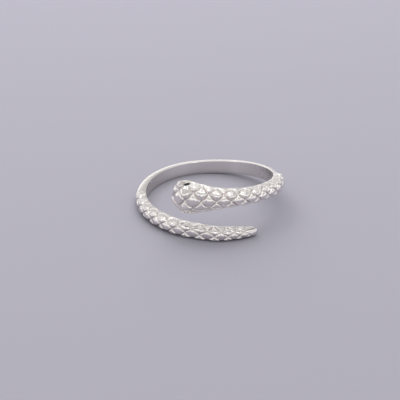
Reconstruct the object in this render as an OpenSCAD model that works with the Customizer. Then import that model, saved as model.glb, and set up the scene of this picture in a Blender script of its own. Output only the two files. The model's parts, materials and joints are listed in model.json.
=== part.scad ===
// Snake ring: an open band whose head passes over its tail, with cast scales on both arms.
// The finger hole's axis is Z, the ring lies on its side on the plane z = 0, and its front
// faces -Y. Angles are turns about Z in degrees: 0 is +X, 90 is the back of the band, 180 is
// the left side, and the body runs from the snout at a negative angle to the tail's tip.

/* [Finger hole] */
// Diameter inside the band
bore_d = 17.3; // [16.5:0.1:18.1]

/* [Band] */
// Height of the smooth band, along the finger
band_height = 2; // [1.8:0.05:2.3]
// Thickness of the band at the middle of the back
back_thickness = 1.25; // [0.9:0.05:1.4]
// Thickness of the band where the right arm's scales begin
right_thickness = 1.65; // [1.4:0.05:1.8]
// Thickness of the band where the tail's scales begin
left_thickness = 1.45; // [1.2:0.05:1.6]
// Squareness of the band's section: 0 is a half ellipse
squareness = 0.25; // [0:0.05:0.4]

/* [Head] */
// Width across the jaws
head_width = 4.7; // [4.2:0.05:4.9]
// Thickness at the brows
head_thickness = 1.65; // [1.5:0.05:1.8]
// Height that the arm climbs from the back of the band to the head
head_lift = 4.4; // [4.2:0.1:5]
// How far the head's face leans back to look up, in degrees
head_twist = 5; // [0:1:8]

/* [Tail] */
// Height of the tail where the head passes over it
tail_height = 1.72; // [1.5:0.02:1.84]
// Thickness of the tail there
tail_thickness = 1.7; // [1.5:0.05:1.8]
// How far the tip stands out from the circle of the finger hole
tail_flare = 1.5; // [1:0.1:1.8]

/* [Scales] */
// Depth of the grooves between the scales of the band
groove_depth = 0.26; // [0.15:0.01:0.28]
// Facets along and across half a scale
scale_steps = 4; // [2:1:4]

/* [Eyes] */
// Length of an eye
eye_length = 1.15; // [0.9:0.05:1.2]
// Width of an eye
eye_width = 0.6; // [0.46:0.02:0.62]
// Gap between an eye and its socket
eye_gap = 0.03; // [0.02:0.01:0.05]

/* [Hidden] */

bore_r = bore_d / 2;
band_half = band_height / 2;
head_half = head_width / 2;
tail_half = tail_height / 2;

// How far the uncut section reaches inside the finger hole before the hole is bored
bore_allowance = 0.35;

// The head arm's scales: where they begin, the turn and number of their half scales, and the
// last few, which are longer
head_start = 5.9;
head_turn = 5.65;
head_count = 22;
head_long = 4;
head_long_turn = 6.2;

// The tail's scales: as above, and how they shorten past one of them
tail_start = 180.4;
tail_turn = 5.5;
tail_count = 24;
tail_even = 16;
tail_shrink = 0.93;

// Sections of the smooth band between the two
band_steps = 22;

// The arm climbs between these two angles
climb_from = 100;
climb_to = -90;
// Squareness of the section at the top of the climb
head_squareness = 0.1;
// Squareness of the tail's section, the angles between which it grows to that, and the turn
// before the tip over which it goes
tail_squareness = 0.46;
square_from = 225;
square_to = 255;
square_end = 28;

// Where a section starts and ends across the outside of the body, in rows of scales, and the
// row past which they spread to reach the wall
row_limit = 2;
even_rows = 1.5;

// The share of a scale's height that is a round crown, and where its bevel begins, as a share
// of the way from its middle to the groove
crown_share = 0.5;
bevel_start = 0.78;
// Half scales over which the pattern fades in from the smooth band, and out at the tail's tip
fade_in = 1;
tip_fade = 2;
// Grooves deepen with the body's height, up to this many times their depth on the band
groove_limit = 1.25;
// Width of the plain rim beside the inner wall
rim_width = 0.6;

// The turn of a point u half scales along each run of scales
function head_angle(u) =
    let (past = max(u - (head_count - head_long), 0))
    head_start - head_turn * (u - past) - head_long_turn * past;
function tail_angle(u) =
    let (past = max(u - tail_even, 0))
    tail_start + tail_turn * min(u, tail_even) + tail_turn * (1 - pow(tail_shrink, past)) / -ln(tail_shrink);
snout_angle = head_angle(head_count);
tip_angle = tail_angle(tail_count);

// Places on the head are given by their angle and by their turn round the section, from 0 at
// the middle of its face to 90 at the finger hole. The forms under the head lie a little
// further round than those above.
under_shift = 15;

// The eye's place and tilt, how far its middle lies under the smooth head, and the height of
// its dome
eye_angle = -107.5;
eye_turn = 57;
eye_tilt = 25;
eye_sink = 0.25;
eye_dome = 0.24;

// The nostril's place, its length, width and depth
nostril_angle = -116.6;
nostril_turn = 22;
nostril = [0.5, 0.2, 0.32];

// The plain side of the head round the eye and the lip: the angle behind the eye and the turn
// where it ends, and how far each of the two edges fades
plain_end = eye_angle + 9;
plain_end_fade = 5;
plain_turn = 42;
plain_turn_fade = 10;

// Forms raised or hollowed on both sides of the head: where they are, how far they reach along
// and across it, and their height
AT_ANGLE = 0;
AT_TURN = 1;
LONG = 2;
WIDE = 3;
RISE = 4;
HEAD_FORMS = [
    // Brow between the eye and the top of the head
    [-107.5, 42, 5, 7,  0.05],
    // Hollow that the eye sits in
    [-111.6, 59, 4.5, 7, -0.2],
    // Lip beside the finger
    [-112,   76, 6, 4,  0.1],
    // Front corner of the lip
    [-116.6, 64, 1, 14, 0.12],
    // Cheek below the eye
    [-109.5, 14, 3.5, 10, 0.17],
    // Corner of the jaw
    [-102,   76, 3.5, 16, 0.07],
];

// Sections of the body, from the snout to the tail's tip.
// ANGLE: turn about Z. HALF: half the height along the finger. INNER and OUTER: distance of
// the inner wall and of the crown from the circle of the finger hole.
ANGLE = 0;
HALF = 1;
INNER = 2;
OUTER = 3;
SECTIONS = [
    [snout_angle,        0.33 * head_half, 0.3,              0.54 * head_thickness],
    [snout_angle + 0.8,  0.55 * head_half, 0.1,              0.60 * head_thickness],
    [snout_angle + 2.3,  0.75 * head_half, -bore_allowance,  0.70 * head_thickness],
    [snout_angle + 5.5,  0.92 * head_half, -bore_allowance,  0.83 * head_thickness],
    [snout_angle + 9.5,  head_half,        -bore_allowance,  0.95 * head_thickness],
    [snout_angle + 14.5, head_half,        -bore_allowance,  head_thickness],
    [snout_angle + 20.5, 0.92 * head_half, -bore_allowance,  0.98 * head_thickness],
    [snout_angle + 27.3, 0.84 * head_half, -bore_allowance,  0.94 * head_thickness],
    [snout_angle + 35.3, 0.71 * head_half, -bore_allowance,  0.92 * head_thickness],
    [snout_angle + 46.3, 0.60 * head_half, -bore_allowance,  0.97 * right_thickness],
    [snout_angle + 62.3, 1.22 * band_half, -bore_allowance,  right_thickness],
    [head_start - 40,    1.16 * band_half, -bore_allowance,  right_thickness],
    [head_start - 3,     1.09 * band_half, -bore_allowance,  right_thickness],
    [head_start,         1.08 * band_half, -bore_allowance,  0.86 * right_thickness],
    [30,                 1.03 * band_half, -bore_allowance,  0.88 * right_thickness],
    [90,                 band_half,        -bore_allowance,  back_thickness],
    [tail_start,         band_half,        -bore_allowance,  left_thickness],
    [225,                band_half,        -bore_allowance,  0.89 * tail_thickness],
    [240,                0.95 * band_half, -bore_allowance,  0.95 * tail_thickness],
    [254,                1.03 * tail_half, -bore_allowance,  0.98 * tail_thickness],
    [263,                tail_half,        0.09 * tail_flare, 0.09 * tail_flare + tail_thickness],
    [270.5,              0.95 * tail_half, 0.25 * tail_flare, 0.25 * tail_flare + tail_thickness],
    [278,                0.89 * tail_half, 0.37 * tail_flare, 0.37 * tail_flare + tail_thickness],
    [285.5,              0.84 * tail_half, 0.48 * tail_flare, 0.48 * tail_flare + 0.97 * tail_thickness],
    [293,                0.76 * tail_half, 0.61 * tail_flare, 0.61 * tail_flare + 0.90 * tail_thickness],
    [tip_angle,          0.66 * tail_half, 0.90 * tail_flare, 0.90 * tail_flare + 0.66 * tail_thickness],
];

function ease(t) = let (s = min(max(t, 0), 1)) s * s * (3 - 2 * s);

// A smooth curve through one column of the table
function span_at(a, i = 0) = i >= len(SECTIONS) - 2 || a < SECTIONS[i + 1][ANGLE] ? i : span_at(a, i + 1);
function slope_at(i, column) =
    let (before = SECTIONS[max(i - 1, 0)], after = SECTIONS[min(i + 1, len(SECTIONS) - 1)])
    (after[column] - before[column]) / (after[ANGLE] - before[ANGLE]);
function section(a, column) =
    let (
        i = span_at(a),
        near = SECTIONS[i],
        far = SECTIONS[i + 1],
        width = far[ANGLE] - near[ANGLE],
        t = (a - near[ANGLE]) / width
    )
    near[column] * (1 + 2 * t) * pow(1 - t, 2) + slope_at(i, column) * width * t * pow(1 - t, 2)
    + far[column] * (3 - 2 * t) * pow(t, 2) - slope_at(i + 1, column) * width * (1 - t) * pow(t, 2);

// How far the body has gone from the band at the back, 0, to the head, 1
function climb(a) = ease((climb_from - a) / (climb_from - climb_to));

// Height of the body's middle line: level round the back and tail, then climbing to the head
function middle_z(a) = a > climb_from ? section(a, HALF) : band_half + head_lift * climb(a);

// Height of a scale's surface above the grooves, from 0 in a groove to 1 at its middle
function scale_profile(x) =
    let (
        t = abs(x - round(x)) * 2,
        bevel = max((t - bevel_start) / (1 - bevel_start), 0)
    )
    1 - crown_share * pow(t, 2) - (1 - crown_share) * bevel;
function scale_height(u, row) = scale_profile((u + row) / 2) * scale_profile((u - row) / 2);

// Turn round the section of a row of scales. The scales grow less than the body does, so their
// rows lie closer together on a wide section.
function row_turn(a, row) =
    let (
        widening = max(section(a, HALF) / band_half, 1),
        row_angle = 90 / row_limit / sqrt(widening),
        even = min(abs(row), even_rows),
        past = (abs(row) - even) / (row_limit - even_rows)
    )
    sign(row) * (even * row_angle + past * (90 - even_rows * row_angle));

// The turn that the head's forms are placed by
function form_turn(turn) = turn < 0 ? -turn - under_shift : turn;

// Grooves are shallower where the body is slimmer, and leave the brow, eye and lip plain
function plain_side(a, turn) =
    ease((plain_end - a) / plain_end_fade) * ease((form_turn(turn) - plain_turn) / plain_turn_fade);
function groove_at(a, turn) =
    groove_depth * min(section(a, HALF) / band_half, groove_limit) * (1 - plain_side(a, turn));

// Height that the head's own forms add at a point
function bell(x) = exp(-x * x);
function form_height(a, turn, i = 0) =
    i == len(HEAD_FORMS) ? 0
    : let (
        form = HEAD_FORMS[i],
        along = bell((a - form[AT_ANGLE]) / form[LONG]),
        across = bell((form_turn(turn) - form[AT_TURN]) / form[WIDE])
    )
        form[RISE] * along * across + form_height(a, turn, i + 1);

function squareness_at(a) =
    let (
        grown = ease((a - square_from) / (square_to - square_from)),
        left = ease((tip_angle - a) / square_end)
    )
    squareness
    + (head_squareness - squareness) * climb(a)
    + (tail_squareness - squareness) * grown * left;

// A point of the smooth outside, as its distance from the finger's axis and its height above
// the body's middle line
function smooth(a, turn) =
    let (
        inner = section(a, INNER),
        depth = section(a, OUTER) - inner,
        square = squareness_at(a),
        out = depth * cos(turn) * (1 + square * pow(sin(turn), 2)),
        up = section(a, HALF) * sin(turn) * (1 + square * pow(cos(turn), 2)),
        lean = head_twist * climb(a)
    )
    [bore_r + inner + out * cos(lean) - up * sin(lean), out * sin(lean) + up * cos(lean)];

// A point of the outside: u counts half scales, fade is 0 on the smooth band and 1 on scales
function outside(a, u, row, fade) =
    let (
        turn = row_turn(a, row),
        plain = smooth(a, turn),
        rim = ease((plain[0] - bore_r - max(section(a, INNER), 0)) / rim_width),
        cut = fade * (rim * groove_at(a, turn) * (1 - scale_height(u, row)) - form_height(a, turn)),
        lean = turn + head_twist * climb(a),
        r = plain[0] - cut * cos(lean)
    )
    [r * cos(a), r * sin(a), middle_z(a) + plain[1] - cut * sin(lean)];

// Each station is a section that the skin passes through: [angle, half scale, fade]
HEAD_STATIONS = [
    for (i = [head_count * scale_steps : -1 : 0])
        let (u = i / scale_steps) [head_angle(u), u + 1, ease(u / fade_in)]
];
BAND_STATIONS = [
    for (i = [1 : band_steps - 1]) [head_start + (tail_start - head_start) * i / band_steps, 0, 0]
];
TAIL_STATIONS = [
    for (i = [0 : tail_count * scale_steps])
        let (u = i / scale_steps) [tail_angle(u), u, ease(u / fade_in) * ease((tail_count - u) / tip_fade)]
];
STATIONS = concat(HEAD_STATIONS, BAND_STATIONS, TAIL_STATIONS);

// The skin is a ring of points at each station, and is closed at the snout and at the tip by
// rings that shrink and turn on past the last station like a quarter of an oval
ring_points = 2 * row_limit * scale_steps + 1;
snout_round = 0.5;
tip_round = 4.3;
cap_bends = [20, 40, 58, 74];

function station_ring(s) =
    [for (j = [0 : ring_points - 1]) outside(s[0], s[1], j / scale_steps - row_limit, s[2])];
function middle_of(ring) =
    (ring[0] + ring[ring_points - 1]) / 4 + ring[(ring_points - 1) / 2] / 2;
function turned(p, a) = [p.x * cos(a) - p.y * sin(a), p.x * sin(a) + p.y * cos(a), p.z];
function cap_ring(ring, past, bend) =
    let (middle = middle_of(ring))
    [for (p = ring) turned(middle + (p - middle) * cos(bend), past * sin(bend))];

// Whether the groove through a cell goes to the next row at the next ring
function groove_rises(here, next, j) =
    let (even = (floor((here + next) / 2) + floor(j / scale_steps)) % 2 == 0)
    next < here ? even : !even;

module skin() {
    first = STATIONS[0];
    last = STATIONS[len(STATIONS) - 1];
    snout_ring = station_ring(first);
    tip_ring = station_ring(last);
    rings = concat(
        [for (i = [len(cap_bends) - 1 : -1 : 0]) cap_ring(snout_ring, -snout_round, cap_bends[i])],
        [for (s = STATIONS) station_ring(s)],
        [for (bend = cap_bends) cap_ring(tip_ring, tip_round, bend)]
    );
    along = concat(
        [for (bend = cap_bends) first[1]],
        [for (s = STATIONS) s[1]],
        [for (bend = cap_bends) last[1]]
    );
    ends = [turned(middle_of(snout_ring), -snout_round), turned(middle_of(tip_ring), tip_round)];
    points = concat([for (ring = rings) each ring], ends);

    // The cell between two rings and two points of each is split the way its groove runs
    walls = [
        for (i = [0 : len(rings) - 2], j = [0 : ring_points - 1])
            let (
                a = i * ring_points + j,
                b = i * ring_points + (j + 1) % ring_points,
                c = b + ring_points,
                d = a + ring_points
            )
            each (groove_rises(along[i], along[i + 1], j) ? [[a, c, d], [a, b, c]] : [[a, b, d], [b, c, d]])
    ];
    snout_point = len(points) - 2;
    tip_point = len(points) - 1;
    tip_start = (len(rings) - 1) * ring_points;
    snout = [for (j = [0 : ring_points - 1]) [snout_point, (j + 1) % ring_points, j]];
    tip = [for (j = [0 : ring_points - 1]) [tip_point, tip_start + j, tip_start + (j + 1) % ring_points]];
    polyhedron(points, concat(walls, snout, tip), convexity = 8);
}

// A point of the smooth outside in the ring's own frame
function smooth_point(a, turn) =
    let (place = smooth(a, turn)) turned([place[0], 0, middle_z(a) + place[1]], a);

// Places its children on the head, with Z out of its surface, Y along the body and X down:
// side is 1 for the upper side and -1 for the lower
module on_head(a, turn, side) {
    at = side > 0 ? turn : -turn - under_shift;
    seat = smooth_point(a, at);
    along = smooth_point(a + 1, at) - smooth_point(a - 1, at);
    down = smooth_point(a, at - 1) - smooth_point(a, at + 1);
    out = cross(down, along);
    y = along / norm(along);
    z = out / norm(out);
    x = cross(y, z);
    multmatrix([
        [x.x, y.x, z.x, seat.x],
        [x.y, y.y, z.y, seat.y],
        [x.z, y.z, z.z, seat.z],
        [0, 0, 0, 1],
    ])
        children();
}

module eye_shape(side, gap) {
    on_head(eye_angle, eye_turn, side)
        rotate([0, 0, side * eye_tilt])
            translate([0, 0, -eye_sink])
                scale([eye_width / 2 + gap, eye_length / 2 + gap, eye_dome + gap])
                    sphere(1, $fn = 16);
}

module nostril_shape(side) {
    on_head(nostril_angle, nostril_turn, side)
        scale([nostril[1] / 2, nostril[0] / 2, nostril[2]])
            sphere(1, $fn = 16);
}

// The finger hole, turned so that its seam lies where the arm leaves the level band
module finger_hole() {
    clear = 1;
    seam_angle = 40;
    translate([0, 0, -clear])
        rotate([0, 0, seam_angle])
            cylinder(h = head_lift + head_width + 2 * clear, r = bore_r, $fn = 96);
}

module ring_body() {
    color("silver")
        difference() {
            skin();
            finger_hole();
            for (side = [1, -1]) {
                eye_shape(side, eye_gap);
                nostril_shape(side);
            }
        }
}

module eye_upper() {
    color("black")
        eye_shape(1, 0);
}

module eye_lower() {
    color("black")
        eye_shape(-1, 0);
}

ring_body();
eye_upper();
eye_lower();
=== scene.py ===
"""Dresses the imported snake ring: a finely carved silver body, polished stone eyes and soft light.

The ring's own frame is used throughout. The finger hole's axis is Z, the ring lies on z = 0, its
front faces -Y, and an angle is a turn about Z from +X, in degrees. The forms repeat the part's
own formulas in millimetres, sampled more finely, and are scaled to metres at the end.
"""

import json
import math

import bpy
import numpy as np
from mathutils import Matrix, Vector


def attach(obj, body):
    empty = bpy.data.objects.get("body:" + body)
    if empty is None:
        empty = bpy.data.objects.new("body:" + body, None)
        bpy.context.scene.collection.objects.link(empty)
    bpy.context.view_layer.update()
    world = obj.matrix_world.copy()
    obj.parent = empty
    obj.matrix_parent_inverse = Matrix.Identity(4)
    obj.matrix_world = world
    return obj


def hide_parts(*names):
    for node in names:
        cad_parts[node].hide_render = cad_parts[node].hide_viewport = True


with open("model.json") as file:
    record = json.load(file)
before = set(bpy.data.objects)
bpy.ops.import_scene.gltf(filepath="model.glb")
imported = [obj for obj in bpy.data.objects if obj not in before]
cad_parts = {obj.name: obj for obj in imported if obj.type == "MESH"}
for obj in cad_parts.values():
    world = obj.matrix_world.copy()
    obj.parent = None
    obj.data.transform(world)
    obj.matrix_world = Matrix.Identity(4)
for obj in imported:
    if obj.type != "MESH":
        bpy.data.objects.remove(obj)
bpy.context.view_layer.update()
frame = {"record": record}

MM = 0.001

# The part's driving dimensions, in millimetres
BORE_R = frame["record"]["mounts"][0]["dims"]["r_mm"]
BAND_HALF = 1.0
BACK_THICKNESS = 1.25
RIGHT_THICKNESS = 1.65
LEFT_THICKNESS = 1.45
HEAD_HALF = 2.35
HEAD_THICKNESS = 1.65
HEAD_LIFT = 4.4
TAIL_HALF = 0.86
TAIL_THICKNESS = 1.7
TAIL_FLARE = 1.5
GROOVE_DEPTH = 0.26
BORE_ALLOWANCE = 0.35

# The angles between which the body climbs to the head, and how far the head leans back
CLIMB_FROM = 100.0
CLIMB_TO = -90.0
HEAD_TWIST = 5.0

# How flat the section's faces are: 0 gives an ellipse. The tail's share grows between two angles
# and goes back over the last degrees before the tip.
SQUARENESS = 0.25
HEAD_SQUARENESS = 0.1
TAIL_SQUARENESS = 0.46
SQUARE_FROM = 225.0
SQUARE_TO = 255.0
SQUARE_END = 28.0

# The two runs of scales, counted in half scales along the body: where each starts, the degrees
# that a half scale takes and how many there are. The head's last ones are longer, and the tail's
# shorten past the even ones.
HEAD_START = 5.9
HEAD_TURN = 5.65
HEAD_COUNT = 22
HEAD_LONG = 4
HEAD_LONG_TURN = 6.2
TAIL_START = 180.4
TAIL_TURN = 5.5
TAIL_COUNT = 24
TAIL_EVEN = 16
TAIL_SHRINK = 0.93

# Rows of scales from the section's outermost line to the wall, and how many are evenly apart
ROW_LIMIT = 2
EVEN_ROWS = 1.5

# The crown's share of a scale's height, and where the bevel starts between middle and groove
CROWN_SHARE = 0.5
BEVEL_START = 0.78

# Where the scales fade, in half scales from a run's start and before the tip, and in millimetres
# from the wall. The grooves deepen as the body widens, up to a limit.
FADE_IN = 1.0
TIP_FADE = 2.0
RIM_WIDTH = 0.6
GROOVE_LIMIT = 1.25

# The head's small forms. A place on the head is its angle and its turn round the section, from
# 0 at the middle of the face to 90 at the finger hole. The forms under the head are shifted
# further round.
UNDER_SHIFT = 15.0
EYE_ANGLE = -107.5
EYE_TURN = 57.0
EYE_TILT = 25.0
EYE_SINK = 0.25
EYE_DOME = 0.24
EYE_LENGTH = 1.15
EYE_WIDTH = 0.6
EYE_POINT = 2.4
EYE_GAP = 0.03
NOSTRIL_ANGLE = -116.6
NOSTRIL_TURN = 22.0
NOSTRIL_SIZE = (0.5, 0.2, 0.32)
NOSTRIL_POINT = 2

# The side of the head round the eye is plain: from the snout to an angle, and from a turn to the
# wall. Each border is soft over some degrees.
PLAIN_END = EYE_ANGLE + 9
PLAIN_END_FADE = 5.0
PLAIN_TURN = 42.0
PLAIN_TURN_FADE = 10.0

# Forms on both sides of the head: angle, turn, reach along and across, and height
HEAD_FORMS = [
    ("brow", -107.5, 42, 5.0, 7, 0.05),
    ("eye hollow", -111.6, 59, 4.5, 7, -0.2),
    ("lip", -112.0, 76, 6.0, 4, 0.1),
    ("front of the lip", -116.6, 64, 1.0, 14, 0.12),
    ("cheek", -109.5, 14, 3.5, 10, 0.17),
    ("jaw corner", -102.0, 76, 3.5, 16, 0.07),
]

# Painted shade beside the eye, given as the forms are, with a share of the darkest colour as its
# height
EYE_PAINTED_SHADE = [
    ("between the eye and the lip", -107.8, 65, 6.0, 3.5, 1.5),
]

# The casting's unevenness, in millimetres: how far a scale's edge may tilt up or down, how many
# scales there are before the tilts repeat, and waves over all the scales as (height, waves along
# the body, waves round the section, start)
SCALE_TILT = 0.045
SCALE_SEED = 5
TILT_TABLE = 64
WAVES = [
    (0.013, 71, 3.1, 0.4),
    (0.011, 113, -5.3, 2.1),
    (0.008, 167, 7.9, 4.0),
    (0.006, 233, -11.2, 1.3),
]

# How tarnished the grooves are, and the painted shade in bands round the inner wall as (angle,
# shade): shares of the darkest colour
GROOVE_TARNISH = 0.35
WALL_PAINTED_SHADE = [
    (0, 0.4),
    (50, 0.3),
    (64, 0.08),
    (74, 0.25),
    (100, 0.25),
    (113, 0),
    (128, 0.05),
    (145, 0.3),
]

# How finely the body is sampled: steps to a half scale, along the plain band, round the wall's
# edge, across the wall and over each end, and halvings in the search for the edge
STEPS = 16
BAND_STEPS = 96
EDGE_STEPS = 4
WALL_STEPS = 8
CAP_STEPS = 8
EDGE_HALVINGS = 30

# The rounding of the wall's edge in millimetres, and of the two ends in degrees of the ring
EDGE_RADIUS = 0.09
SNOUT_ROUND = 0.5
TIP_ROUND = 4.3

# Edges of the body that bend more than this are shaded sharp
SHARP_ANGLE = math.radians(50)

# Rings and sides of an eye and of a nostril, and the least width that is divided by
EYE_GRID = (24, 48)
NOSTRIL_GRID = (12, 24)
TINY = 1e-9

# Silver: its clean colour and its darkest colour, which is patina in the grooves and painted shade
# in the hollows and on the inner wall, the least and most roughness of its polish, and what the
# darkest colour adds to it
SILVER_COLOUR = (0.87, 0.83, 0.81, 1)
PATINA_AND_SHADE_COLOUR = (0.5, 0.46, 0.44, 1)
SILVER_ROUGHNESS = (0.04, 0.2)
PATINA_AND_SHADE_ROUGHNESS = 0.4

# Cloudy patterns on the silver as (size, detail). The polishing lines are drawn out along the
# band. The pits grow from nothing on the inner wall to their full depth at a reach outside it.
# Sizes, depths and the reach are in millimetres.
SILVER_PATCHES = (1.1, 3)
POLISH_LINES = (0.12, 2)
LINE_STRETCH = 12
LINE_DEPTH = 0.004
PITS = (0.3, 3)
PIT_DEPTH = 0.025
PIT_REACH = 0.3

# Black stone: its darkest and lightest colour, its roughness and its patterns, as for the silver
STONE_DARK = (0.004, 0.004, 0.006, 1)
STONE_LIGHT = (0.014, 0.012, 0.013, 1)
STONE_ROUGHNESS = (0.04, 0.16)
STONE_CLOUDS = (0.3, 3)
STONE_PATCHES = (0.15, 2)
STONE_WAVES = (0.2, 1)
STONE_WAVE_DEPTH = 0.004

# The floor: how far it reaches each way in millimetres, its colour and its roughness
FLOOR_REACH = 1500
FLOOR_COLOUR = (0.29, 0.281, 0.325, 1)
FLOOR_ROUGHNESS = 0.9

# The photograph's camera: its height above the ring's plane, its distance from the middle of
# the ring, and where that middle falls in the 400 pixel frame
FRAME_PX = 400
CAMERA_ELEVATION = math.radians(28.8)
CAMERA_DISTANCE = 0.15
PIXELS_PER_MM = 7.25
ORIGIN_PX = (209.15, 202.45)
SENSOR_MM = 36
CLIP_START = 0.01

# The studio's brightness as (sine of the height above the horizon, share of the brightest part)
STUDIO_STRENGTH = 1.1
STUDIO = [(0.3, 1.0), (0.42, 0.5), (0.58, 0.5), (0.72, 0.88)]

# Soft boxes as (name, place, size, power, whether the metal mirrors it), in metres and watts
LIGHTS = [
    ("overhead", (-0.03, 0.2, 0.26), 0.45, 1.35, False),
    ("front", (0.08, -0.14, 0.26), 0.05, 0.04, True),
    ("left", (-0.2, -0.06, 0.22), 0.05, 0.03, True),
    ("back", (0.03, 0.08, 0.29), 0.05, 0.03, True),
]


def head_angle(u):
    """The angle of a point u half scales along the head's run, whose last scales are longer."""
    past = np.maximum(u - (HEAD_COUNT - HEAD_LONG), 0)
    return HEAD_START - HEAD_TURN * (u - past) - HEAD_LONG_TURN * past


def tail_angle(u):
    """The angle of a point u half scales along the tail, whose scales shorten to the tip."""
    even = np.minimum(u, TAIL_EVEN)
    past = np.maximum(u - TAIL_EVEN, 0)
    shortened = (1 - TAIL_SHRINK**past) / -math.log(TAIL_SHRINK)
    return TAIL_START + TAIL_TURN * (even + shortened)


SNOUT_ANGLE = float(head_angle(HEAD_COUNT))
TIP_ANGLE = float(tail_angle(TAIL_COUNT))

# Columns of the section table: half the height along the finger, then the inner wall's and the
# crown's distance from the circle of the finger hole
ANGLE, HALF, INNER, OUTER = range(4)
SECTIONS = np.array([
    (SNOUT_ANGLE, 0.33 * HEAD_HALF, 0.3, 0.54 * HEAD_THICKNESS),
    (SNOUT_ANGLE + 0.8, 0.55 * HEAD_HALF, 0.1, 0.60 * HEAD_THICKNESS),
    (SNOUT_ANGLE + 2.3, 0.75 * HEAD_HALF, -BORE_ALLOWANCE, 0.70 * HEAD_THICKNESS),
    (SNOUT_ANGLE + 5.5, 0.92 * HEAD_HALF, -BORE_ALLOWANCE, 0.83 * HEAD_THICKNESS),
    (SNOUT_ANGLE + 9.5, HEAD_HALF, -BORE_ALLOWANCE, 0.95 * HEAD_THICKNESS),
    (SNOUT_ANGLE + 14.5, HEAD_HALF, -BORE_ALLOWANCE, HEAD_THICKNESS),
    (SNOUT_ANGLE + 20.5, 0.92 * HEAD_HALF, -BORE_ALLOWANCE, 0.98 * HEAD_THICKNESS),
    (SNOUT_ANGLE + 27.3, 0.84 * HEAD_HALF, -BORE_ALLOWANCE, 0.94 * HEAD_THICKNESS),
    (SNOUT_ANGLE + 35.3, 0.71 * HEAD_HALF, -BORE_ALLOWANCE, 0.92 * HEAD_THICKNESS),
    (SNOUT_ANGLE + 46.3, 0.60 * HEAD_HALF, -BORE_ALLOWANCE, 0.97 * RIGHT_THICKNESS),
    (SNOUT_ANGLE + 62.3, 1.22 * BAND_HALF, -BORE_ALLOWANCE, RIGHT_THICKNESS),
    (HEAD_START - 40, 1.16 * BAND_HALF, -BORE_ALLOWANCE, RIGHT_THICKNESS),
    (HEAD_START - 3, 1.09 * BAND_HALF, -BORE_ALLOWANCE, RIGHT_THICKNESS),
    (HEAD_START, 1.08 * BAND_HALF, -BORE_ALLOWANCE, 0.86 * RIGHT_THICKNESS),
    (30, 1.03 * BAND_HALF, -BORE_ALLOWANCE, 0.88 * RIGHT_THICKNESS),
    (90, BAND_HALF, -BORE_ALLOWANCE, BACK_THICKNESS),
    (TAIL_START, BAND_HALF, -BORE_ALLOWANCE, LEFT_THICKNESS),
    (225, BAND_HALF, -BORE_ALLOWANCE, 0.89 * TAIL_THICKNESS),
    (240, 0.95 * BAND_HALF, -BORE_ALLOWANCE, 0.95 * TAIL_THICKNESS),
    (254, 1.03 * TAIL_HALF, -BORE_ALLOWANCE, 0.98 * TAIL_THICKNESS),
    (263, TAIL_HALF, 0.09 * TAIL_FLARE, 0.09 * TAIL_FLARE + TAIL_THICKNESS),
    (270.5, 0.95 * TAIL_HALF, 0.25 * TAIL_FLARE, 0.25 * TAIL_FLARE + TAIL_THICKNESS),
    (278, 0.89 * TAIL_HALF, 0.37 * TAIL_FLARE, 0.37 * TAIL_FLARE + TAIL_THICKNESS),
    (285.5, 0.84 * TAIL_HALF, 0.48 * TAIL_FLARE, 0.48 * TAIL_FLARE + 0.97 * TAIL_THICKNESS),
    (293, 0.76 * TAIL_HALF, 0.61 * TAIL_FLARE, 0.61 * TAIL_FLARE + 0.90 * TAIL_THICKNESS),
    (TIP_ANGLE, 0.66 * TAIL_HALF, 0.90 * TAIL_FLARE, 0.90 * TAIL_FLARE + 0.66 * TAIL_THICKNESS),
])


def ease(t):
    """A smooth step from 0 to 1."""
    s = np.clip(t, 0, 1)
    return s * s * (3 - 2 * s)


def section(angle, column):
    """A smooth curve through one column of the section table."""
    at = SECTIONS[:, ANGLE]
    value = SECTIONS[:, column]
    index = np.arange(len(at))
    before = np.maximum(index - 1, 0)
    after = np.minimum(index + 1, len(at) - 1)
    slope = (value[after] - value[before]) / (at[after] - at[before])
    near = np.clip(np.searchsorted(at, angle, side="right") - 1, 0, len(at) - 2)
    far = near + 1
    width = at[far] - at[near]
    t = (angle - at[near]) / width
    left = value[near] * (1 + 2 * t) * (1 - t) ** 2 + slope[near] * width * t * (1 - t) ** 2
    right = value[far] * (3 - 2 * t) * t**2 - slope[far] * width * (1 - t) * t**2
    return left + right


def climb(angle):
    """How far the body has gone from the band at the back, 0, to the head, 1."""
    return ease((CLIMB_FROM - angle) / (CLIMB_FROM - CLIMB_TO))


def middle_z(angle):
    """Height of the body's middle line: level at the back and tail, climbing to the head."""
    climbing = BAND_HALF + HEAD_LIFT * climb(angle)
    return np.where(angle > CLIMB_FROM, section(angle, HALF), climbing)


def scale_profile(x):
    """Height across a scale, from 1 at its middle to 0 in the groove: a low crown, then a bevel."""
    t = np.abs(x - np.round(x)) * 2
    bevel = np.clip((t - BEVEL_START) / (1 - BEVEL_START), 0, 1)
    return 1 - CROWN_SHARE * t**2 - (1 - CROWN_SHARE) * bevel


def scale_height(u, row):
    """Height of a scale above the grooves, from 0 in a groove to 1 at its middle."""
    return scale_profile((u + row) / 2) * scale_profile((u - row) / 2)


def uneven(angle, turn, u, row):
    """Height that the casting adds: each scale lies a little askew, and its face is wavy."""
    tilts = np.random.default_rng(SCALE_SEED).uniform(-1, 1, (2, TILT_TABLE, TILT_TABLE))
    up = (u + row) / 2
    down = (u - row) / 2
    scale = np.round(up).astype(int) % TILT_TABLE, np.round(down).astype(int) % TILT_TABLE
    lean_up = tilts[0][scale] * (up - np.round(up))
    lean_down = tilts[1][scale] * (down - np.round(down))
    rise = SCALE_TILT * 2 * (lean_up + lean_down)
    for height, along, across, start in WAVES:
        wave = np.radians(along * angle) + across * np.radians(turn) + start
        rise = rise + height * np.sin(wave)
    return rise * scale_height(u, row) * np.sqrt(section(angle, HALF) / HEAD_HALF)


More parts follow.
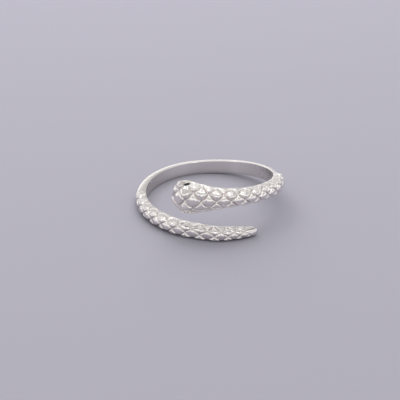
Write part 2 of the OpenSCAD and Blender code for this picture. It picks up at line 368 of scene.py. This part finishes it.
def row_turn(angle, row):
    """Degrees round the section from its outermost line to a row of scales.

    The scales grow less than the body does, so their rows lie closer together on a wide section.
    """
    widening = np.maximum(section(angle, HALF) / BAND_HALF, 1)
    row_angle = 90 / ROW_LIMIT / np.sqrt(widening)
    even = np.minimum(np.abs(row), EVEN_ROWS)
    past = (np.abs(row) - even) / (ROW_LIMIT - EVEN_ROWS)
    return np.sign(row) * (even * row_angle + past * (90 - EVEN_ROWS * row_angle))


def form_turn(turn):
    """The turn that the head's forms are placed by: those under the head lie further round."""
    return np.where(turn < 0, -turn - UNDER_SHIFT, turn)


def scaled_share(angle, turn):
    """1 where the scales are, and 0 on the side of the head round the eye, which is plain."""
    beside = ease((form_turn(turn) - PLAIN_TURN) / PLAIN_TURN_FADE)
    return 1 - ease((PLAIN_END - angle) / PLAIN_END_FADE) * beside


def groove_at(angle):
    """Depth of the grooves, which are shallower where the body is slimmer."""
    return GROOVE_DEPTH * np.minimum(section(angle, HALF) / BAND_HALF, GROOVE_LIMIT)


def bells(forms, angle, turn):
    """The sum of a list of bell-shaped forms at points of the head."""
    height = 0
    for _, at_angle, at_turn, long, wide, rise in forms:
        reach = ((angle - at_angle) / long) ** 2 + ((form_turn(turn) - at_turn) / wide) ** 2
        height = height + rise * np.exp(-reach)
    return height


def twist(angle):
    """How far the section leans back, in degrees: the head's face looks up a little."""
    return HEAD_TWIST * climb(angle)


def squareness(angle):
    """How flat the section's faces are: less at the head than on the band, more at the tail."""
    grown = ease((angle - SQUARE_FROM) / (SQUARE_TO - SQUARE_FROM))
    left = ease((TIP_ANGLE - angle) / SQUARE_END)
    at_head = (HEAD_SQUARENESS - SQUARENESS) * climb(angle)
    return SQUARENESS + at_head + (TAIL_SQUARENESS - SQUARENESS) * grown * left


def plain_section(angle, turn):
    """Radius and height of the smooth outside, before any scale is carved."""
    turn = np.radians(turn)
    inner = section(angle, INNER)
    depth = section(angle, OUTER) - inner
    out = depth * np.cos(turn) * (1 + squareness(angle) * np.sin(turn) ** 2)
    up = section(angle, HALF) * np.sin(turn) * (1 + squareness(angle) * np.cos(turn) ** 2)
    lean = np.radians(twist(angle))
    radius = BORE_R + inner + out * np.cos(lean) - up * np.sin(lean)
    height = out * np.sin(lean) + up * np.cos(lean)
    return radius, height


def wall_radius(angle):
    """The inner wall follows the finger hole, and leaves it where the tail flares."""
    return BORE_R + np.maximum(section(angle, INNER), 0)


def carved_section(angle, u, row, turn, fade):
    """Radius, height above the middle line and darkening of points of the scaled outside: patina in
    the grooves and painted shade in the head's hollows.
    """
    radius, height = plain_section(angle, turn)
    rim = ease((radius - wall_radius(angle)) / RIM_WIDTH)
    pattern = fade * rim * scaled_share(angle, turn)
    groove = pattern * (1 - scale_height(u, row))
    form = bells(HEAD_FORMS, angle, turn)
    sunk = groove * groove_at(angle) - pattern * uneven(angle, turn, u, row) - fade * form
    # Painted shade: the head's hollows, and a band between the eye and the lip, are painted darker
    hollow = np.clip(bells(EYE_PAINTED_SHADE, angle, turn) - form / GROOVE_DEPTH, 0, 1)
    patina_and_shade = np.maximum(GROOVE_TARNISH * groove, hollow)
    lean = np.radians(turn + twist(angle))
    return radius - sunk * np.cos(lean), height - sunk * np.sin(lean), patina_and_shade


def edge_turn(angle, side):
    """The turn at which one side of the outside comes down to the inner wall's rounded edge."""
    low = np.full(angle.shape, 45.0)
    high = np.full(angle.shape, 90.0)
    for _ in range(EDGE_HALVINGS):
        middle = (low + high) / 2
        outside = plain_section(angle, side * middle)[0] > wall_radius(angle) + EDGE_RADIUS
        low = np.where(outside, middle, low)
        high = np.where(outside, high, middle)
    return low


def outside_turn(angle, row):
    """The turn of each row. The ones nearest the wall are drawn in, and the last meets its edge."""
    turn = row_turn(angle, row)
    edge = np.where(row > 0, edge_turn(angle, 1), edge_turn(angle, -1))
    even = row_turn(angle, np.full(row.shape, EVEN_ROWS))
    spare = np.maximum(np.abs(turn) - even, 0) / (90 - even)
    return np.where(spare > 0, np.sign(row) * (even + spare * (edge - even)), turn)


def rounded_edge(radius, height, wall, side):
    """Points that turn from the outside into the wall, at its top for side 1 or its foot for -1."""
    bend = np.radians(np.linspace(0, 90, EDGE_STEPS + 1)[None, 1:])
    inward = EDGE_RADIUS * np.sin(bend)
    along = EDGE_RADIUS * (1 - np.cos(bend))
    return radius - inward * (radius - wall) / EDGE_RADIUS, height - side * along


def inside(radius, height, wall):
    """Radius and height of the rest of each ring: down the wall, with both of its edges rounded."""
    top_radius, top_height = rounded_edge(radius[:, -1:], height[:, -1:], wall, 1)
    low_radius, low_height = rounded_edge(radius[:, :1], height[:, :1], wall, -1)
    across = np.linspace(0, 1, WALL_STEPS + 1)[None, 1:-1]
    top = top_height[:, -1:]
    low = low_height[:, -1:]
    wall_height = top + (low - top) * across
    wall_line = np.broadcast_to(wall, wall_height.shape)
    radii = np.concatenate([top_radius, wall_line, low_radius[:, ::-1]], axis=1)
    heights = np.concatenate([top_height, wall_height, low_height[:, ::-1]], axis=1)
    return radii, heights


def stations():
    """Angle, lattice place and fade of each section that the skin passes through."""
    head_u = np.arange(HEAD_COUNT * STEPS, -1, -1) / STEPS
    tail_u = np.arange(TAIL_COUNT * STEPS + 1) / STEPS
    band = np.linspace(HEAD_START, TAIL_START, BAND_STEPS + 1)[1:-1]
    plain = np.zeros(len(band))
    angle = np.concatenate([head_angle(head_u), band, tail_angle(tail_u)])
    u = np.concatenate([head_u + 1, plain, tail_u])
    tail_fade = ease(tail_u / FADE_IN) * ease((TAIL_COUNT - tail_u) / TIP_FADE)
    fade = np.concatenate([ease(head_u / FADE_IN), plain, tail_fade])
    return angle, u, fade


def body_rings():
    """Every ring of points round the body, from snout to tip, with how dark each point is painted:
    patina in the grooves, painted shade in the hollows and on the inner wall.
    """
    angle, u, fade = (column[:, None] for column in stations())
    row = np.linspace(-ROW_LIMIT, ROW_LIMIT, 2 * ROW_LIMIT * STEPS + 1)[None, :]
    radius, height, patina_and_shade = carved_section(angle, u, row, outside_turn(angle, row), fade)
    inner_radius, inner_height = inside(radius, height, wall_radius(angle))
    # Painted shade: the inner wall is darkened in bands round the ring
    wall_shade = np.interp(angle, *zip(*WALL_PAINTED_SHADE))
    wall_shade = np.repeat(wall_shade, inner_radius.shape[1], axis=1)

    radius = np.concatenate([radius, inner_radius], axis=1)
    height = np.concatenate([height, inner_height], axis=1)
    patina_and_shade = np.concatenate([patina_and_shade, wall_shade], axis=1)
    around = np.radians(np.broadcast_to(angle, radius.shape))
    z = middle_z(angle) + height
    points = np.stack([radius * np.cos(around), radius * np.sin(around), z], axis=2)
    return points, patina_and_shade, u[:, 0]


def capped(points, patina_and_shade, end, round_turn):
    """Rings that round off one end of the body, their patina and painted shade, and the point that
    closes it.
    """
    centre = (points[end].min(axis=0) + points[end].max(axis=0)) / 2
    rings = []
    for step in range(1, CAP_STEPS + 1):
        bend = math.pi / 2 * step / CAP_STEPS
        shrunk = centre + (points[end] - centre) * math.cos(bend)
        shift = math.radians(round_turn) * math.sin(bend)
        spin = np.array(Matrix.Rotation(shift, 3, "Z"))
        rings.append(shrunk @ spin.T)
    tip = rings.pop().mean(axis=0)
    return rings, [patina_and_shade[end]] * len(rings), tip


def groove_rises(here, after, column):
    """Whether the groove through a cell goes to the next row at the next station."""
    even = (math.floor((here + after) / 2) + column // STEPS) % 2 == 0
    return even if after < here else not even


def skin_faces(u, count):
    """The faces between rings of count points, with each scaled cell split along its groove."""
    faces = []
    for s in range(len(u) - 1):
        for j in range(count):
            a = s * count + j
            b = s * count + (j + 1) % count
            c = b + count
            d = a + count
            if j >= 2 * ROW_LIMIT * STEPS:
                faces.append((d, c, b, a))
            elif groove_rises(u[s], u[s + 1], j):
                faces += [(d, c, a), (c, b, a)]
            else:
                faces += [(d, b, a), (d, c, b)]
    return faces


def end_faces(count, last):
    """The faces from the first and the last ring to the two points that come after all rings."""
    snout_point = (last + 1) * count
    faces = []
    for j in range(count):
        after = (j + 1) % count
        faces.append((j, after, snout_point))
        faces.append((last * count + after, last * count + j, snout_point + 1))
    return faces


def body_mesh():
    """The whole body as one closed mesh: its points, its faces and how dark each point is painted
    with patina and painted shade.
    """
    points, patina_and_shade, u = body_rings()
    snout_rings, snout_patina_and_shade, snout_tip = capped(points, patina_and_shade, 0, -SNOUT_ROUND)
    tail_rings, tail_patina_and_shade, tail_tip = capped(points, patina_and_shade, -1, TIP_ROUND)
    rings = np.concatenate([np.array(snout_rings[::-1]), points, np.array(tail_rings)])
    shares = np.concatenate([np.array(snout_patina_and_shade), patina_and_shade, np.array(tail_patina_and_shade)])
    u = np.concatenate([np.full(len(snout_rings), u[0]), u, np.full(len(tail_rings), u[-1])])

    count = rings.shape[1]
    faces = skin_faces(u, count) + end_faces(count, len(rings) - 1)
    flat = np.concatenate([rings.reshape(-1, 3), [snout_tip, tail_tip]])
    shares = np.concatenate([shares.reshape(-1), [0, 0]])
    return flat, faces, shares


def new_object(name, points, faces):
    """A mesh object in the scene, from points in millimetres."""
    mesh = bpy.data.meshes.new(name)
    mesh.from_pydata((np.asarray(points) * MM).tolist(), [], faces)
    mesh.validate()
    thing = bpy.data.objects.new(name, mesh)
    bpy.context.scene.collection.objects.link(thing)
    return thing


def plain_point(angle, turn):
    """A point of the smooth outside in the ring's own frame."""
    angle = np.array(float(angle))
    radius, height = plain_section(angle, turn)
    around = math.radians(angle)
    return Vector((radius * math.cos(around), radius * math.sin(around), middle_z(angle) + height))


def head_place(angle, turn, side):
    """The matrix of a place on the head: Z out of the surface, Y along the body and X down."""
    at = turn if side > 0 else -turn - UNDER_SHIFT
    y = (plain_point(angle + 1, at) - plain_point(angle - 1, at)).normalized()
    down = plain_point(angle, at - 1) - plain_point(angle, at + 1)
    z = down.cross(y).normalized()
    spin = Matrix((y.cross(z), y, z)).transposed().to_4x4()
    return Matrix.Translation(plain_point(angle, at)) @ spin


def gem_form(half_width, half_length, dome, sharpness, rings, sides):
    """A closed almond: a ball whose ends along Y are drawn to points."""
    points = [(0, 0, dome)]
    for ring in range(1, rings):
        polar = math.pi * ring / rings
        for side in range(sides):
            around = 2 * math.pi * side / sides
            x = math.sin(polar) * math.cos(around)
            y = math.sin(polar) * math.sin(around)
            outline = math.sqrt(max(1 - y * y, TINY))
            narrow = (1 - abs(y) ** sharpness) / outline
            points.append((x * half_width * narrow, y * half_length, math.cos(polar) * dome))
    points.append((0, 0, -dome))
    faces = []
    for side in range(sides):
        after = (side + 1) % sides
        faces.append((1 + side, 1 + after, 0))
        for ring in range(rings - 2):
            high = 1 + ring * sides
            low = high + sides
            faces.append((low + side, low + after, high + after, high + side))
        base = 1 + (rings - 2) * sides
        faces.append((base + after, base + side, len(points) - 1))
    return points, faces


def placed(points, matrix):
    """Points moved and turned by a matrix."""
    spin = np.array(matrix)[:3, :3]
    return np.asarray(points) @ spin.T + np.array(matrix)[:3, 3]


def eye_form(side, gap):
    """Points and faces of an eye that is grown all round by a gap, on side 1 above or -1 below."""
    half_width = EYE_WIDTH / 2 + gap
    half_length = EYE_LENGTH / 2 + gap
    points, faces = gem_form(half_width, half_length, EYE_DOME + gap, EYE_POINT, *EYE_GRID)
    tilt = Matrix.Rotation(side * math.radians(EYE_TILT), 4, "Z")
    place = head_place(EYE_ANGLE, EYE_TURN, side) @ tilt @ Matrix.Translation((0, 0, -EYE_SINK))
    return placed(points, place), faces


def nostril_form(side):
    """Points and faces of what is taken out for a nostril."""
    length, width, depth = NOSTRIL_SIZE
    points, faces = gem_form(width / 2, length / 2, depth, NOSTRIL_POINT, *NOSTRIL_GRID)
    return placed(points, head_place(NOSTRIL_ANGLE, NOSTRIL_TURN, side)), faces


def cut(thing, cutter):
    """Takes the cutter's form out of a piece, and deletes the cutter."""
    modifier = thing.modifiers.new("cut", "BOOLEAN")
    modifier.operation = "DIFFERENCE"
    modifier.solver = "EXACT"
    modifier.object = cutter
    bpy.context.view_layer.objects.active = thing
    bpy.ops.object.modifier_apply(modifier=modifier.name)
    bpy.data.objects.remove(cutter)


def new_material(name):
    """A node material, with its tree and its shader."""
    material = bpy.data.materials.new(name)
    material.use_nodes = True
    tree = material.node_tree
    return material, tree, tree.nodes["Principled BSDF"]


def ramp(tree, share, stops):
    """A colour that runs through stops of (share, colour)."""
    colour = tree.nodes.new("ShaderNodeValToRGB")
    elements = colour.color_ramp.elements
    while len(elements) < len(stops):
        elements.new(1)
    for element, (position, shade) in zip(elements, stops):
        element.position = position
        element.color = shade
    tree.links.new(share, colour.inputs["Fac"])
    return colour.outputs["Color"]


def clouds(tree, place, size, detail):
    """Cloudy noise from 0 to 1, with its clouds about as wide as a size in millimetres."""
    noise = tree.nodes.new("ShaderNodeTexNoise")
    noise.inputs["Scale"].default_value = 1 / (size * MM)
    noise.inputs["Detail"].default_value = detail
    tree.links.new(place, noise.inputs["Vector"])
    return noise.outputs["Fac"]


def spread(tree, share, low, high):
    """Turns a share from 0 to 1 into a value from low to high."""
    span = tree.nodes.new("ShaderNodeMapRange")
    span.clamp = False
    span.inputs["To Min"].default_value = low
    span.inputs["To Max"].default_value = high
    tree.links.new(share, span.inputs["Value"])
    return span.outputs["Result"]


def combined(tree, operation, first, second):
    """The result of one sum, product or other operation on two values."""
    both = tree.nodes.new("ShaderNodeMath")
    both.operation = operation
    tree.links.new(first, both.inputs[0])
    tree.links.new(second, both.inputs[1])
    return both.outputs["Value"]


def off_wall(tree, place, reach):
    """A share that is 0 on the inner wall, and 1 from a reach in millimetres outside it."""
    level = tree.nodes.new("ShaderNodeVectorMath")
    level.operation = "MULTIPLY"
    level.inputs[1].default_value = (1, 1, 0)
    tree.links.new(place, level.inputs[0])
    radius = tree.nodes.new("ShaderNodeVectorMath")
    radius.operation = "LENGTH"
    tree.links.new(level.outputs["Vector"], radius.inputs[0])
    span = tree.nodes.new("ShaderNodeMapRange")
    span.inputs["From Min"].default_value = BORE_R * MM
    span.inputs["From Max"].default_value = (BORE_R + reach) * MM
    tree.links.new(radius.outputs["Value"], span.inputs["Value"])
    return span.outputs["Result"]


def bumped(tree, height, depth, normal=None):
    """The normal of a surface whose height changes by a depth in millimetres."""
    bump = tree.nodes.new("ShaderNodeBump")
    bump.inputs["Distance"].default_value = depth * MM
    tree.links.new(height, bump.inputs["Height"])
    if normal:
        tree.links.new(normal, bump.inputs["Normal"])
    return bump.outputs["Normal"]


def streaked(tree, place, stretch):
    """Places unrolled from the ring, in metres, which draw a pattern out along the band."""
    apart = tree.nodes.new("ShaderNodeSeparateXYZ")
    tree.links.new(place, apart.inputs["Vector"])
    around = combined(tree, "ARCTAN2", apart.outputs["Y"], apart.outputs["X"])
    along = spread(tree, around, 0, BORE_R * MM / stretch)
    together = tree.nodes.new("ShaderNodeCombineXYZ")
    tree.links.new(along, together.inputs["X"])
    tree.links.new(apart.outputs["Z"], together.inputs["Z"])
    return together.outputs["Vector"]


def silver():
    """Cast silver, polished on the scales, darker and duller with patina in the grooves, and with
    painted shade in the head's hollows and on the inner wall.
    """
    material, tree, shader = new_material("polished_silver")
    shader.inputs["Metallic"].default_value = 1
    place = tree.nodes.new("ShaderNodeTexCoord").outputs["Object"]
    # The body's darkening: patina in the grooves, painted shade in the hollows and on the inner
    # wall
    mark = tree.nodes.new("ShaderNodeAttribute")
    mark.attribute_name = "patina_and_shade"
    patina_and_shade = mark.outputs["Fac"]

    colour = ramp(tree, patina_and_shade, [(0, SILVER_COLOUR), (1, PATINA_AND_SHADE_COLOUR)])
    tree.links.new(colour, shader.inputs["Base Color"])

    patchy = spread(tree, clouds(tree, place, *SILVER_PATCHES), *SILVER_ROUGHNESS)
    dull = spread(tree, patina_and_shade, 0, PATINA_AND_SHADE_ROUGHNESS)
    tree.links.new(combined(tree, "ADD", patchy, dull), shader.inputs["Roughness"])

    lines = clouds(tree, streaked(tree, place, LINE_STRETCH), *POLISH_LINES)
    pits = combined(tree, "MULTIPLY", clouds(tree, place, *PITS), off_wall(tree, place, PIT_REACH))
    normal = bumped(tree, pits, PIT_DEPTH, bumped(tree, lines, LINE_DEPTH))
    tree.links.new(normal, shader.inputs["Normal"])
    return material


def black_stone():
    """Polished black stone, faintly cloudy, with a slightly uneven polish."""
    material, tree, shader = new_material("black_stone")
    place = tree.nodes.new("ShaderNodeTexCoord").outputs["Object"]

    cloudy = clouds(tree, place, *STONE_CLOUDS)
    colour = ramp(tree, cloudy, [(0, STONE_DARK), (1, STONE_LIGHT)])
    tree.links.new(colour, shader.inputs["Base Color"])

    patchy = spread(tree, clouds(tree, place, *STONE_PATCHES), *STONE_ROUGHNESS)
    tree.links.new(patchy, shader.inputs["Roughness"])

    waves = clouds(tree, place, *STONE_WAVES)
    tree.links.new(bumped(tree, waves, STONE_WAVE_DEPTH), shader.inputs["Normal"])
    return material


def make_body(material):
    """The carved body, with the eye sockets and the nostrils taken out of it."""
    points, faces, patina_and_shade = body_mesh()
    body = new_object("snake_body", points, faces)
    # Darkening per point: patina in the grooves, painted shade in the hollows and on the inner wall
    share = body.data.attributes.new("patina_and_shade", "FLOAT", "POINT")
    share.data.foreach_set("value", patina_and_shade.astype(np.float32))
    for side in (1, -1):
        cut(body, new_object("socket", *eye_form(side, EYE_GAP)))
        cut(body, new_object("nostril_cutter", *nostril_form(side)))
    body.data.shade_smooth()
    body.data.set_sharp_from_angle(angle=SHARP_ANGLE)
    body.data.materials.clear()
    body.data.materials.append(material)
    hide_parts("ring_body")
    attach(body, "root")


def make_eye(node, side, material):
    """The stone that stands for one of the part's eyes."""
    eye = new_object(node + "_stone", *eye_form(side, 0))
    eye.data.shade_smooth()
    eye.data.materials.append(material)
    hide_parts(node)
    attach(eye, "root")


def make_floor():
    """The pale floor that the ring lies on."""
    reach = FLOOR_REACH
    points = [(-reach, -reach, 0), (reach, -reach, 0), (reach, reach, 0), (-reach, reach, 0)]
    floor = new_object("floor", points, [(0, 1, 2, 3)])
    material, _, shader = new_material("pale_backdrop")
    shader.inputs["Base Color"].default_value = FLOOR_COLOUR
    shader.inputs["Roughness"].default_value = FLOOR_ROUGHNESS
    floor.data.materials.append(material)


def make_camera():
    """The photograph's camera, in front of the ring and above it, with its frame shifted."""
    data = bpy.data.cameras.new("camera")
    data.sensor_width = SENSOR_MM
    data.lens = SENSOR_MM * PIXELS_PER_MM * (CAMERA_DISTANCE / MM) / FRAME_PX
    data.shift_x = (FRAME_PX / 2 - ORIGIN_PX[0]) / FRAME_PX
    data.shift_y = (ORIGIN_PX[1] - FRAME_PX / 2) / FRAME_PX
    data.clip_start = CLIP_START
    camera = bpy.data.objects.new("camera", data)
    camera.location = (
        0,
        -CAMERA_DISTANCE * math.cos(CAMERA_ELEVATION),
        CAMERA_DISTANCE * math.sin(CAMERA_ELEVATION),
    )
    camera.rotation_euler = (math.pi / 2 - CAMERA_ELEVATION, 0, 0)
    bpy.context.scene.collection.objects.link(camera)
    bpy.context.scene.camera = camera


def make_light(name, place, size, power, mirrored):
    """A square soft box that faces the ring, and may be left out of the metal's reflections."""
    data = bpy.data.lights.new(name, "AREA")
    data.shape = "SQUARE"
    data.size = size
    data.energy = power
    light = bpy.data.objects.new(name, data)
    light.location = place
    aim = -light.location
    light.rotation_euler = aim.to_track_quat("-Z", "Y").to_euler()
    light.visible_glossy = mirrored
    bpy.context.scene.collection.objects.link(light)


def make_world():
    """A soft studio: bright round the horizon and overhead, and dimmer between the two."""
    world = bpy.data.worlds.new("studio")
    world.use_nodes = True
    tree = world.node_tree
    background = tree.nodes["Background"]
    background.inputs["Strength"].default_value = STUDIO_STRENGTH
    place = tree.nodes.new("ShaderNodeTexCoord")
    apart = tree.nodes.new("ShaderNodeSeparateXYZ")
    tree.links.new(place.outputs["Generated"], apart.inputs["Vector"])
    greys = [(height, (share, share, share, 1)) for height, share in STUDIO]
    tree.links.new(ramp(tree, apart.outputs["Z"], greys), background.inputs["Color"])
    bpy.context.scene.world = world


make_camera()
make_world()
for light in LIGHTS:
    make_light(*light)
make_floor()
make_body(silver())
stone = black_stone()
make_eye("eye_upper", 1, stone)
make_eye("eye_lower", -1, stone)
bpy.context.scene.view_settings.view_transform = "Standard"
